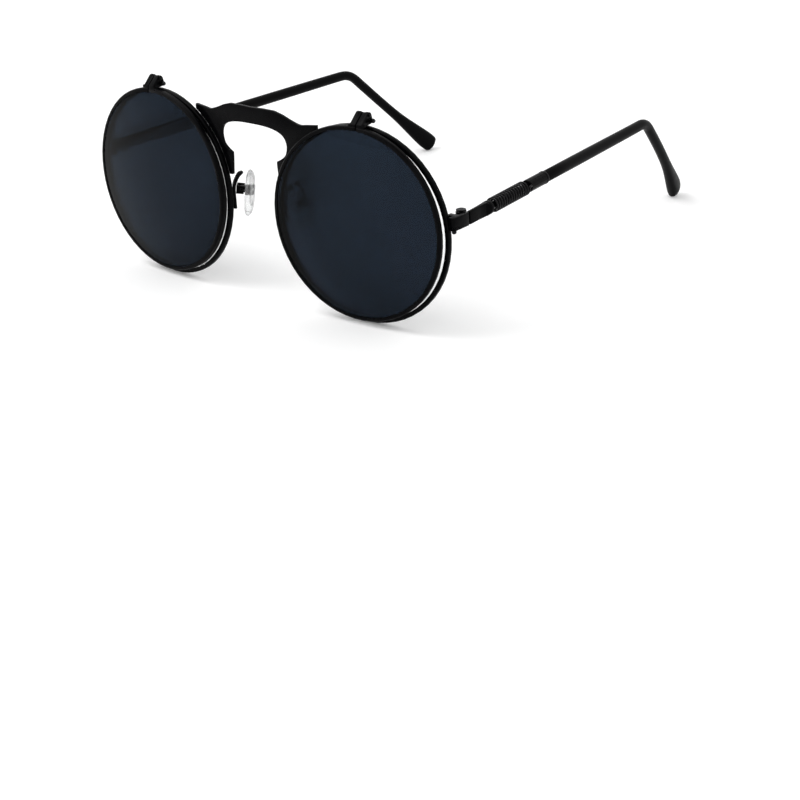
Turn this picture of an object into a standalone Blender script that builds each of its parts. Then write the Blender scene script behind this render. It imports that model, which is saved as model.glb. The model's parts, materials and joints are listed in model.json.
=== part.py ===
"""Round flip-up sunglasses: fixed clear lenses, hinged dark lenses, a keyhole
bridge plate, and folding temples wrapped with a coil spring.

Lengths are in metres. +Z is up, the lenses face -Y and the wearer's left is +X.
The glasses stand on z = 0, on the two fixed rims and the two temple tips.
"""
import math

import bmesh
import bpy
from mathutils import Matrix, Vector

for old in list(bpy.data.objects):
    bpy.data.objects.remove(old, do_unlink=True)

# Clearances
SEAT_GAP = 0.0002          # between pieces that are fixed to each other
RUN_GAP = 0.00022          # between pieces that turn on each other
CUT_OVERRUN = 0.0006       # how far every cutter passes the face it opens
WELD_DEPTH = 0.00025       # how far the parts of one solid run into each other

# Fixed rims and clear lenses
RIM_RADIUS = 0.0262
RIM_WALL = 0.0012
RIM_DEPTH = 0.0015
RIM_CHAMFER = 0.0003
GROOVE_DEPTH = 0.00045
GROOVE_WIDTH = 0.0009
RIM_GAP = 0.0178           # between the two fixed rims where they are nearest
WRAP_ANGLE = math.radians(4.8)
LENS_THICKNESS = 0.0012
LENS_CURVE_RADIUS = 0.130
LENS_BEVEL_WIDTH = 0.0005

# Flip-up rims
FLIP_INSET = 0.0005        # how much smaller its outer radius is than the fixed rim's
FLIP_RIM_WALL = 0.0011
FLIP_RIM_DEPTH = 0.0014
FLIP_RAISE = 0.0009        # its centre above the clear lens's centre
FLIP_AHEAD = 0.0024        # plane of the closed flip rims ahead of the fixed rims
FLIP_PLAY = 0.0007         # how much further ahead the left flip rim stands at rest
FLIP_SPLIT = 0.0004        # cut in the rim between its two closing ears

# Flip hinge, depths measured from the fixed rim's plane, heights from the fixed rim's top
FLIP_HINGE_OUTSET = 0.0018   # hinge centre outward of the lens centre
FLIP_AXIS_BEHIND = 0.00035
FLIP_AXIS_RISE = 0.0012
FLIP_LEAF_WIDTH = 0.0013
FLIP_LEAF_RADIUS = 0.00072
FLIP_EAR_WIDTH = 0.0009
FLIP_EAR_RADIUS = 0.00085    # of both ears round the pin
FLIP_PIN_RADIUS = 0.00033
FLIP_PIN_HEAD_RADIUS = 0.0006
FLIP_PIN_HEAD_LENGTH = 0.0010
FLIP_CROWN_RADIUS = 0.00105  # of the rounded top of both ears
FLIP_CROWN_AHEAD = 0.0002
FLIP_CROWN_RISE = 0.0024
FLIP_SADDLE_DIP = 0.00013    # the block's top is lower between the ears
FLIP_FOOT_LENGTH = 0.0048    # of the ears' feet along the flip rim
FLIP_FOOT_THICKNESS = 0.0005
EAR_SCREW_RADIUS = 0.00025
EAR_SCREW_HEAD_RADIUS = 0.00045
EAR_SCREW_HEAD_LENGTH = 0.00025
EAR_SCREW_LIFT = 0.00028     # screw axis above the middle of the crown

# Bridge plate, heights measured down from the top of the fixed rims
BRIDGE_THICKNESS = 0.0010
BRIDGE_SETBACK = 0.00075     # middle of the plate behind the middle of the rims
BRIDGE_CURVE_OUT = 0.0110    # where the curved middle of the plate becomes flat
ARCH_TOP_DROP = 0.0001
ARCH_NOTCH_DROP = 0.0028
ARCH_TIP_TOP_DROP = 0.00225
ARCH_TIP_FOOT_DROP = 0.0036
KEYHOLE_TOP_DROP = 0.0045
KEYHOLE_LOBE_DROP = 0.0091
KEYHOLE_LOBE_OUT = 0.0116
SHOULDER_DROP = 0.0136
SHOULDER_OUT = 0.0080
FLANGE_FOOT_DROP = 0.0197
FLANGE_FOOT_OUT = 0.0084

# Nose pads, arms and boxes, heights measured from the lens centre line
PAD_LENGTH = 0.0138
PAD_WIDTH = 0.0068
PAD_THICKNESS = 0.0026
PAD_INSET = 0.0006         # middle of the pad outward of the rim's nasal edge
PAD_BACK = 0.0055
PAD_DROP = 0.0009
PAD_HANG = 0.0011          # middle of the pad below its stem
PAD_TURN = math.radians(37.0)
PAD_SPLAY = math.radians(9.0)
STEM_WIDTH = 0.0011
STEM_HEIGHT = 0.0018
STEM_LENGTH = 0.0016
BOX_WALL = 0.0004
BOX_HEIGHT = 0.0023
PAD_SCREW_RADIUS = 0.00032
PAD_SCREW_HEAD_RADIUS = 0.0006
PAD_SCREW_HEAD_LENGTH = 0.0004
ARM_WIRE = 0.00095
ARM_FOOT_WIDTH = 0.0012
ARM_FOOT_DROP = 0.0034
ARM_FOOT_RISE = 0.0026
ARM_LOOP_RISE = 0.0056

# End pieces and temple hinges
HINGE_RISE = 0.0042        # middle of the hinge above the lens centre line
END_WIDTH = 0.00175        # outer face of the end piece outward of the fixed rim
END_WALL = 0.0009
END_HEIGHT = 0.0034
END_CORNER = 0.0005
END_FORWARD = 0.0008       # block front ahead of the rim plane at the hinge
BLOCK_DEPTH = 0.0014       # block behind the rim
BLOCK_INSET = 0.0016       # how far the block reaches in behind the rim
BARREL_RADIUS = 0.0014
BARREL_STACK = 0.0029
BARREL_MIDDLE = 0.00095
HINGE_BEHIND = 0.0054      # hinge axis behind the rim's outer edge
HINGE_SCREW_RADIUS = 0.00055
HINGE_SCREW_HEAD_RADIUS = 0.0013
HINGE_SCREW_HEAD_LENGTH = 0.0005
RIM_SCREW_RADIUS = 0.00036
RIM_SCREW_HEAD_RADIUS = 0.0006
RIM_SCREW_HEAD_LENGTH = 0.0007
CLOSING_BLOCK_HEIGHT = 0.0006

# Temples, distances measured back from the hinge axis
TEMPLE_SPLAY = math.radians(4.4)
TEMPLE_PITCH = math.radians(0.4)   # rise of the temples towards the ears
PLATE_LENGTH = 0.0081
PLATE_END_HEIGHT = 0.0035
PLATE_END_WALL = 0.0012
COLLAR_RADIUS = 0.0018
COLLAR_LENGTH = 0.0013
ROD_RADIUS = 0.00088
ROD_INTO_TIP = 0.0055
FERRULE_RADIUS = 0.00173
FERRULE_LENGTH = 0.0078
JOINT_RING_RADIUS = 0.0018
JOINT_RING_LENGTH = 0.0006
SLEEVE_RADIUS = 0.00168
NECK_RADIUS = 0.00146       # of the sleeve where the bend ends
TEMPLE_BEND_AT = 0.0918
TEMPLE_BEND_RADIUS = 0.0080
TIP_LENGTH = 0.0420        # from the corner of the bend to the tip's end
TIP_HEIGHT = 0.0059
TIP_THICKNESS = 0.0040
TIP_INWARD = 0.00645

# Coil spring on the temple
SPRING_TURNS = 14
SPRING_PITCH = 0.0011
SPRING_WIRE = 0.00056
SPRING_RADIUS = 0.0020     # outer radius

# Roundness
RIM_SIDES = 56
LENS_SIDES = 48
BARREL_SIDES = 20
SCREW_SIDES = 12
TUBE_SIDES = 14
COIL_POINTS = 9
BEND_STEPS = 7

# Places that follow from the sizes above
RIM_INNER = RIM_RADIUS - RIM_WALL
FLIP_RIM_RADIUS = RIM_RADIUS - FLIP_INSET
FLIP_RIM_INNER = FLIP_RIM_RADIUS - FLIP_RIM_WALL
LENS_X = RIM_GAP / 2 + RIM_RADIUS * math.cos(WRAP_ANGLE)
LENS_Z = RIM_RADIUS
FLIP_AXIS_V = RIM_RADIUS + FLIP_AXIS_RISE
RIM_OUT = LENS_X + RIM_RADIUS * math.cos(WRAP_ANGLE)
RIM_EDGE_Y = RIM_RADIUS * math.sin(WRAP_ANGLE)
END_OUT = RIM_OUT + END_WIDTH
HINGE_HEIGHT = LENS_Z + HINGE_RISE
HINGE_BACK = RIM_EDGE_Y + HINGE_BEHIND
PIN_INSET = BARREL_RADIUS + RUN_GAP + END_WALL
HINGE_X = END_OUT - PIN_INSET
SPRING_ROOM = SPRING_TURNS * SPRING_PITCH + 2 * (2 * SPRING_WIRE + SEAT_GAP)
PLATE_SIDEWAYS = PIN_INSET - END_WALL / 2
COLLAR_START = PLATE_LENGTH
SPRING_START = COLLAR_START + COLLAR_LENGTH
FERRULE_START = SPRING_START + SPRING_ROOM
JOINT_RING_START = FERRULE_START + FERRULE_LENGTH + SEAT_GAP
SLEEVE_START = JOINT_RING_START + JOINT_RING_LENGTH + SEAT_GAP
ROD_END = SLEEVE_START + ROD_INTO_TIP

LEFT, RIGHT = 1, -1
SIDES = ((LEFT, "left"), (RIGHT, "right"))


# Materials

def material(name, colour, roughness, metallic=0.0, alpha=1.0):
    """Return a Principled material of this colour, made once."""
    found = bpy.data.materials.get(name)
    if found:
        return found
    made = bpy.data.materials.new(name)
    made.use_nodes = True
    shader = made.node_tree.nodes["Principled BSDF"]
    shader.inputs["Base Color"].default_value = (*colour, 1.0)
    shader.inputs["Roughness"].default_value = roughness
    shader.inputs["Metallic"].default_value = metallic
    shader.inputs["Alpha"].default_value = alpha
    made.diffuse_color = (*colour, alpha)
    return made


def frame_black():
    return material("black_enamel", (0.012, 0.012, 0.014), 0.32, 0.6)


def screw_black():
    return material("black_screw", (0.016, 0.016, 0.018), 0.28, 0.8)


def spring_black():
    return material("black_spring", (0.014, 0.014, 0.016), 0.30, 0.8)


def sleeve_black():
    return material("black_sleeve", (0.014, 0.015, 0.017), 0.38)


def dark_lens():
    return material("dark_lens", (0.020, 0.024, 0.033), 0.08, 0.0, 0.92)


def clear_lens():
    return material("clear_lens", (0.90, 0.92, 0.92), 0.03, 0.0, 0.15)


def pad_clear():
    return material("clear_silicone", (0.86, 0.87, 0.86), 0.25, 0.0, 0.45)


# Building blocks

def add_object(name, mesh, look, parent, smooth=math.radians(38.0)):
    """Put a mesh in the scene under its parent, with its look."""
    made = bpy.data.objects.new(name, mesh)
    bpy.context.collection.objects.link(made)
    made.parent = parent
    made.data.materials.append(look)
    if smooth:
        mesh.shade_smooth()
        mesh.set_sharp_from_angle(angle=smooth)
    return made


def closed_mesh(name, points, faces):
    """Make a mesh whose faces point outward, whichever way they were wound."""
    mesh = bpy.data.meshes.new(name)
    mesh.from_pydata([tuple(p) for p in points], [], faces)
    work = bmesh.new()
    work.from_mesh(mesh)
    bmesh.ops.recalc_face_normals(work, faces=work.faces)
    if work.calc_volume(signed=True) < 0:
        bmesh.ops.reverse_faces(work, faces=work.faces)
    work.to_mesh(mesh)
    work.free()
    return mesh


def loft(name, rings, ring_closed=False):
    """Skin a list of rings of equal count; the ends are capped unless it closes."""
    count = len(rings[0])
    points = [p for ring in rings for p in ring]
    faces = []
    steps = len(rings) if ring_closed else len(rings) - 1
    for i in range(steps):
        here, there = i * count, ((i + 1) % len(rings)) * count
        for j in range(count):
            k = (j + 1) % count
            faces.append((here + j, here + k, there + k, there + j))
    if not ring_closed:
        faces.append(tuple(range(count)))
        faces.append(tuple(range(len(points) - count, len(points))))
    return closed_mesh(name, points, faces)


def turned(name, profile, sides, centre, axis, start):
    """Spin an open profile of (radius, distance) pairs that begins and ends on the axis."""
    axis = axis.normalized()
    start = start.normalized()
    side = axis.cross(start)
    points, rows = [], []
    for radius, along in profile:
        if radius == 0:
            rows.append([len(points)])
            points.append(centre + axis * along)
            continue
        rows.append(list(range(len(points), len(points) + sides)))
        for i in range(sides):
            turn = 2 * math.pi * i / sides
            out = start * math.cos(turn) + side * math.sin(turn)
            points.append(centre + axis * along + out * radius)
    faces = []
    for low, high in zip(rows, rows[1:]):
        for i in range(sides):
            k = (i + 1) % sides
            if len(low) == 1:
                faces.append((low[0], high[k], high[i]))
            elif len(high) == 1:
                faces.append((low[i], low[k], high[0]))
            else:
                faces.append((low[i], low[k], high[k], high[i]))
    return closed_mesh(name, points, faces)


def tube(name, profile, sides, centre, axis, start):
    """Spin a closed profile of (radius, distance) pairs that stays off the axis."""
    axis = axis.normalized()
    start = start.normalized()
    side = axis.cross(start)
    rings = []
    for i in range(sides):
        turn = 2 * math.pi * i / sides
        out = start * math.cos(turn) + side * math.sin(turn)
        rings.append([centre + axis * along + out * radius for radius, along in profile])
    return loft(name, rings, ring_closed=True)


def prism(name, outline, low, high, place):
    """Extrude an outline of (a, b) pairs from low to high; place maps (a, b, height)."""
    return loft(name, [[place(a, b, low) for a, b in outline],
                       [place(a, b, high) for a, b in outline]])


def circle(radius, sides, centre=(0.0, 0.0)):
    return [(centre[0] + radius * math.cos(2 * math.pi * i / sides),
             centre[1] + radius * math.sin(2 * math.pi * i / sides)) for i in range(sides)]


def hull(points):
    """Outline of the tightest convex shape round some (a, b) points."""
    points = sorted(set(points))

    def half(run):
        line = []
        for p in run:
            while len(line) > 1:
                (ax, ay), (bx, by) = line[-2], line[-1]
                if (bx - ax) * (p[1] - ay) - (by - ay) * (p[0] - ax) > 0:
                    break
                line.pop()
            line.append(p)
        return line

    return half(points)[:-1] + half(points[::-1])[:-1]


def smooth_path(points, steps):
    """Points of a smooth curve through the given ones (Catmull-Rom)."""
    ends = [points[0] * 2 - points[1], *points, points[-1] * 2 - points[-2]]
    line = []
    for a, b, c, d in zip(ends, ends[1:], ends[2:], ends[3:]):
        for i in range(steps):
            t = i / steps
            line.append((b * 2 + (c - a) * t + (a * 2 - b * 5 + c * 4 - d) * t ** 2
                         + (b * 3 - a - c * 3 + d) * t ** 3) / 2)
    return [*line, points[-1].copy()]


def shape_with(target, cutter, operation):
    """Join a helper solid to the target, or cut it away."""
    change = target.modifiers.new(cutter.name, "BOOLEAN")
    change.operation = operation
    change.solver = "EXACT"
    change.object = cutter
    cutter.hide_render = True
    cutter.display_type = "WIRE"


def helper(name, mesh, parent):
    """A guide solid that only shapes another one."""
    made = bpy.data.objects.new(name, mesh)
    bpy.context.collection.objects.link(made)
    made.parent = parent
    made.hide_render = True
    made.display_type = "WIRE"
    return made


def anchor(name, place, turn=0.0, parent=None, pitch=0.0):
    """An empty that carries a sub-assembly, on its joint's axis where it moves."""
    made = bpy.data.objects.new(name, None)
    bpy.context.collection.objects.link(made)
    made.location = place
    made.rotation_euler = (pitch, 0.0, turn)
    made.parent = parent
    return made


X, Y, Z = Vector((1, 0, 0)), Vector((0, 1, 0)), Vector((0, 0, 1))


# Rims and lenses

def rim_profile(radius, wall, depth):
    """Section of a rim: a chamfered bar with a groove for the lens inside."""
    inner, half = radius - wall, depth / 2
    return [
        (radius, -half + RIM_CHAMFER), (radius, half - RIM_CHAMFER),
        (radius - RIM_CHAMFER, half), (inner, half),
        (inner, GROOVE_WIDTH / 2), (inner + GROOVE_DEPTH, 0.0), (inner, -GROOVE_WIDTH / 2),
        (inner, -half), (radius - RIM_CHAMFER, -half),
    ]


def rim_mesh(name, profile, centre, radius, split=0.0, split_at=0.0):
    """Turn a rim's section about the lens axis, leaving a split where asked."""
    top = math.atan2(1, 0) - math.asin(split_at / radius)
    half = math.asin(split / 2 / radius)
    rings = []
    count = RIM_SIDES
    for i in range(count + (1 if split else 0)):
        turn = top + half + (2 * math.pi - 2 * half) * i / count
        out = X * math.cos(turn) + Z * math.sin(turn)
        rings.append([centre + out * r + Y * y for r, y in profile])
    return loft(name, rings, ring_closed=not split)


def lens_sag(radius):
    return LENS_CURVE_RADIUS - math.sqrt(LENS_CURVE_RADIUS ** 2 - radius ** 2)


def lens_mesh(name, rim_inner, centre):
    """A domed lens whose edge is bevelled to sit in the rim's groove."""
    edge = rim_inner - SEAT_GAP
    tip = rim_inner + GROOVE_DEPTH - SEAT_GAP
    ring_shares = (0.0, 0.42, 0.74, 1.0)

    def dome(share, face):
        radius = edge * share
        return radius, face - (lens_sag(edge) - lens_sag(radius))

    half = LENS_THICKNESS / 2
    profile = [dome(s, -half) for s in ring_shares]
    profile += [(edge, -LENS_BEVEL_WIDTH / 2), (tip, 0.0), (edge, LENS_BEVEL_WIDTH / 2)]
    profile += [dome(s, half) for s in reversed(ring_shares)]
    return turned(name, profile, LENS_SIDES, centre, Y, Z)


def build_fixed_lens(side, word, front):
    """Rim and clear lens; returns the empty at the lens centre, turned by the wrap."""
    seat = anchor(f"lens_axis_{word}", (side * LENS_X, 0.0, LENS_Z), side * WRAP_ANGLE, front)
    section = rim_profile(RIM_RADIUS, RIM_WALL, RIM_DEPTH)
    rim = rim_mesh(f"rear_rim_{word}", section, Vector(), RIM_RADIUS)
    add_object(f"rear_rim_{word}", rim, frame_black(), seat)
    lens = lens_mesh(f"clear_lens_{word}", RIM_INNER, Vector())
    add_object(f"clear_lens_{word}", lens, clear_lens(), seat)
    return seat


# Flip hinges and flip-up lenses

def screw_profile(shank, head, head_length, length):
    """Half section of a screw: its head seats at 0 and the shank runs to length."""
    round_share, point_share = 0.35, 0.5
    top = -head_length
    return [
        (0.0, top), (head * (1 - round_share), top), (head, top + head_length * round_share),
        (head, 0.0), (shank, 0.0), (shank, length - shank * point_share),
        (shank * point_share, length), (0.0, length),
    ]


def pin_profile(radius, length):
    """Half section of a plain pin with broken ends, centred on 0."""
    half, break_share = length / 2, 0.3
    edge = radius * break_share
    return [(0.0, -half), (radius - edge, -half), (radius, -half + edge),
            (radius, half - edge), (radius - edge, half), (0.0, half)]


def build_flip(side, word, seat):
    """The hinge over one lens, and the dark lens that lifts on it."""
    hinge = Vector((side * FLIP_HINGE_OUTSET, FLIP_AXIS_BEHIND, FLIP_AXIS_V))
    axis = anchor(f"flip_axis_{word}", hinge, 0.0, seat)
    ears = (FLIP_LEAF_WIDTH / 2 + RUN_GAP, FLIP_LEAF_WIDTH / 2 + RUN_GAP + FLIP_EAR_WIDTH)

    def along_x(a, b, height):
        return Vector((height, a, b))

    # Fixed leaf on top of the clear lens's rim
    foot_low = SEAT_GAP - FLIP_AXIS_RISE
    foot_half = RIM_DEPTH / 2 - RIM_CHAMFER
    leaf = prism(f"flip_hinge_base_{word}",
                 hull(circle(FLIP_LEAF_RADIUS, BARREL_SIDES)
                      + [(-foot_half - FLIP_AXIS_BEHIND, foot_low),
                         (foot_half - FLIP_AXIS_BEHIND, foot_low)]),
                 -FLIP_LEAF_WIDTH / 2, FLIP_LEAF_WIDTH / 2, along_x)
    leaf = add_object(f"flip_hinge_base_{word}", leaf, frame_black(), axis)

    # Flip rim, split at the top between two ears that join above and ahead of the leaf
    ahead = FLIP_AHEAD + (FLIP_PLAY if side == LEFT else 0.0)
    rim_centre = Vector((0.0, -ahead, FLIP_RAISE)) - hinge
    section = rim_profile(FLIP_RIM_RADIUS, FLIP_RIM_WALL, FLIP_RIM_DEPTH)
    rim = rim_mesh(f"flip_rim_{word}", section, rim_centre, FLIP_RIM_RADIUS,
                   FLIP_SPLIT, side * FLIP_HINGE_OUTSET)
    rim = add_object(f"flip_rim_{word}", rim, frame_black(), axis)
    half = FLIP_RIM_DEPTH / 2 - RIM_CHAMFER / 2
    front, back = rim_centre.y - half, rim_centre.y + half
    rim_top = rim_centre.z + FLIP_RIM_RADIUS
    foot_base, foot_top = rim_top - WELD_DEPTH, rim_top + FLIP_FOOT_THICKNESS
    crown_y = -FLIP_CROWN_AHEAD - FLIP_AXIS_BEHIND
    crown_z = FLIP_CROWN_RISE - FLIP_AXIS_RISE
    crown = circle(FLIP_CROWN_RADIUS, BARREL_SIDES, (crown_y, crown_z))
    saddle = circle(FLIP_CROWN_RADIUS - FLIP_SADDLE_DIP, BARREL_SIDES, (crown_y, crown_z))
    ear_outline = hull(crown + circle(FLIP_EAR_RADIUS, BARREL_SIDES)
                       + [(front, foot_base), (back, foot_base), (front, foot_top)])
    saddle_outline = hull([(a, b) for a, b in saddle if b >= crown_z - WELD_DEPTH])
    wall_back = -foot_half - FLIP_AXIS_BEHIND - RUN_GAP
    wall_outline = hull([(a, b) for a, b in saddle if a <= wall_back]
                        + [(front, foot_base), (back, foot_base), (front, foot_top)])
    foot_outline = [(front, foot_base), (back, foot_base), (back, foot_top), (front, foot_top)]
    split = FLIP_SPLIT / 2
    for hand in (LEFT, RIGHT):
        place = f"{'in' if hand == side else 'out'}_{word}"
        for part, outline, near, far in (
                ("ear", ear_outline, ears[0], ears[1]),
                ("saddle", saddle_outline, split, ears[0] + WELD_DEPTH),
                ("wall", wall_outline, split, ears[0] + WELD_DEPTH),
                ("foot", foot_outline, split, FLIP_FOOT_LENGTH / 2)):
            name = f"{part}_{place}"
            solid = prism(name, outline, hand * near, hand * far, along_x)
            shape_with(rim, helper(name, solid, axis), "UNION")

    # Bore for the pin, and the hole for the screw that closes the flip rim
    reach = ears[1] + CUT_OVERRUN
    bore = turned(f"flip_bore_{word}", pin_profile(FLIP_PIN_RADIUS + RUN_GAP, 2 * reach),
                  SCREW_SIDES, Vector(), X, Z)
    bore = helper(f"flip_bore_{word}", bore, axis)
    shape_with(leaf, bore, "DIFFERENCE")
    shape_with(rim, bore, "DIFFERENCE")
    screw_at = Vector((0.0, crown_y, crown_z + EAR_SCREW_LIFT))
    hole = turned(f"ear_screw_hole_{word}", pin_profile(EAR_SCREW_RADIUS + SEAT_GAP, 2 * reach),
                  SCREW_SIDES, screw_at, X, Z)
    shape_with(rim, helper(f"ear_screw_hole_{word}", hole, axis), "DIFFERENCE")

    # Pin and screw, both with the head on the wearer's left
    for name, shank, head, head_length, middle, gap in (
            ("flip_hinge_pin", FLIP_PIN_RADIUS, FLIP_PIN_HEAD_RADIUS, FLIP_PIN_HEAD_LENGTH,
             Vector(), RUN_GAP),
            ("flip_rim_screw", EAR_SCREW_RADIUS, EAR_SCREW_HEAD_RADIUS, EAR_SCREW_HEAD_LENGTH,
             screw_at, SEAT_GAP)):
        profile = screw_profile(shank, head, head_length, 2 * ears[1])
        screw = turned(f"{name}_{word}", profile, SCREW_SIDES, middle + X * (ears[1] + gap), -X, Z)
        add_object(f"{name}_{word}", screw, screw_black(), axis)

    lens = lens_mesh(f"flip_lens_{word}", FLIP_RIM_INNER, rim_centre)
    add_object(f"flip_lens_{word}", lens, dark_lens(), axis)


# Bridge plate

def plate_bend(x):
    """Depth of the middle of the plate, which follows the wrap of both rims."""
    reach, slope = BRIDGE_CURVE_OUT, math.tan(WRAP_ANGLE)
    if abs(x) >= reach:
        return -(LENS_X - abs(x)) * slope + BRIDGE_SETBACK
    edge = -(LENS_X - reach) * slope + BRIDGE_SETBACK
    return edge - slope * (reach ** 2 - x ** 2) / (2 * reach)


def rim_edge(drop):
    """Point beside the fixed rim's nasal edge, this far below the rim's top."""
    height = RIM_RADIUS - drop
    reach = math.sqrt((RIM_RADIUS + SEAT_GAP) ** 2 - height ** 2)
    return Vector((LENS_X - reach * math.cos(WRAP_ANGLE), height))


def bridge_edges():
    """Inner and outer edge of one half, from the flange foot to the middle."""
    flange_shares = ((0.70, 0.28), (0.25, 0.64), (0.02, 0.94))
    shoulder_shares = ((0.06, 0.03), (0.44, 0.19), (0.86, 0.50), (1.0, 1.0))
    lobe_shares = ((0.97, 0.33), (0.94, 0.46), (0.91, 0.56), (0.85, 0.67), (0.73, 0.81),
                   (0.53, 0.93), (0.27, 0.99), (0.0, 1.0))
    inner = [Vector((FLANGE_FOOT_OUT, RIM_RADIUS - FLANGE_FOOT_DROP))]
    for out, rise in flange_shares:
        inner.append(Vector((
            SHOULDER_OUT + (FLANGE_FOOT_OUT - SHOULDER_OUT) * out,
            RIM_RADIUS - FLANGE_FOOT_DROP + (FLANGE_FOOT_DROP - SHOULDER_DROP) * rise)))
    for out, rise in shoulder_shares:
        inner.append(Vector((
            SHOULDER_OUT + (KEYHOLE_LOBE_OUT - SHOULDER_OUT) * out,
            RIM_RADIUS - SHOULDER_DROP + (SHOULDER_DROP - KEYHOLE_LOBE_DROP) * rise)))
    for out, rise in lobe_shares:
        inner.append(Vector((
            KEYHOLE_LOBE_OUT * out,
            RIM_RADIUS - KEYHOLE_LOBE_DROP + (KEYHOLE_LOBE_DROP - KEYHOLE_TOP_DROP) * rise)))

    # Stretches beside the rim: from one drop to the next, in shares of the way
    stretches = (
        (FLANGE_FOOT_DROP, SHOULDER_DROP, (0.0, 0.28, 0.64, 0.94)),
        (SHOULDER_DROP, KEYHOLE_LOBE_DROP, (0.12, 0.40, 0.80)),
        (KEYHOLE_LOBE_DROP, KEYHOLE_TOP_DROP, (0.42, 0.92)),
    )
    outer = [rim_edge(low + (high - low) * share)
             for low, high, shares in stretches for share in shares]
    tip = rim_edge(ARCH_TIP_FOOT_DROP)
    arch_shares = ((0.83, 0.06), (0.73, 0.0), (0.58, 0.40), (0.36, 1.0), (0.0, 1.0))
    notch = RIM_RADIUS - ARCH_NOTCH_DROP
    outer += [tip, Vector((tip.x, RIM_RADIUS - ARCH_TIP_TOP_DROP))]
    outer += [Vector((tip.x * out, notch + (ARCH_NOTCH_DROP - ARCH_TOP_DROP) * rise))
              for out, rise in arch_shares]
    return inner, outer


def build_bridge(front):
    """One sheet that arches between the rims and runs down beside them."""
    inner, outer = bridge_edges()
    steps = 2
    corners = (9, 10)
    inner_line = smooth_path(inner, steps)
    outer_line = []
    runs = (outer[:corners[0] + 1], outer[corners[0]:corners[1] + 1], outer[corners[1]:])
    for run in runs:
        outer_line += smooth_path(run, steps)[:-1]
    outer_line.append(outer[-1])
    pairs = list(zip(inner_line, outer_line))
    mirrored = [(Vector((-a.x, a.y)), Vector((-b.x, b.y))) for a, b in reversed(pairs[:-1])]
    half = BRIDGE_THICKNESS / 2
    rings = []
    for a, b in pairs + mirrored:
        rings.append([Vector((p.x, plate_bend(p.x) + y, LENS_Z + p.y))
                      for p, y in ((a, -half), (b, -half), (b, half), (a, half))])
    add_object("bridge_plate", loft("bridge_plate", rings), frame_black(), front,
               math.radians(50.0))


# Nose pads

def pad_outline(turn):
    """Unit outline of the pad: an oval, a little fuller at its lower end."""
    long_share, full_share = 0.5, 0.14
    a, b = math.cos(turn), math.sin(turn)
    return a * long_share, b * long_share * (1 - full_share * a)


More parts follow.
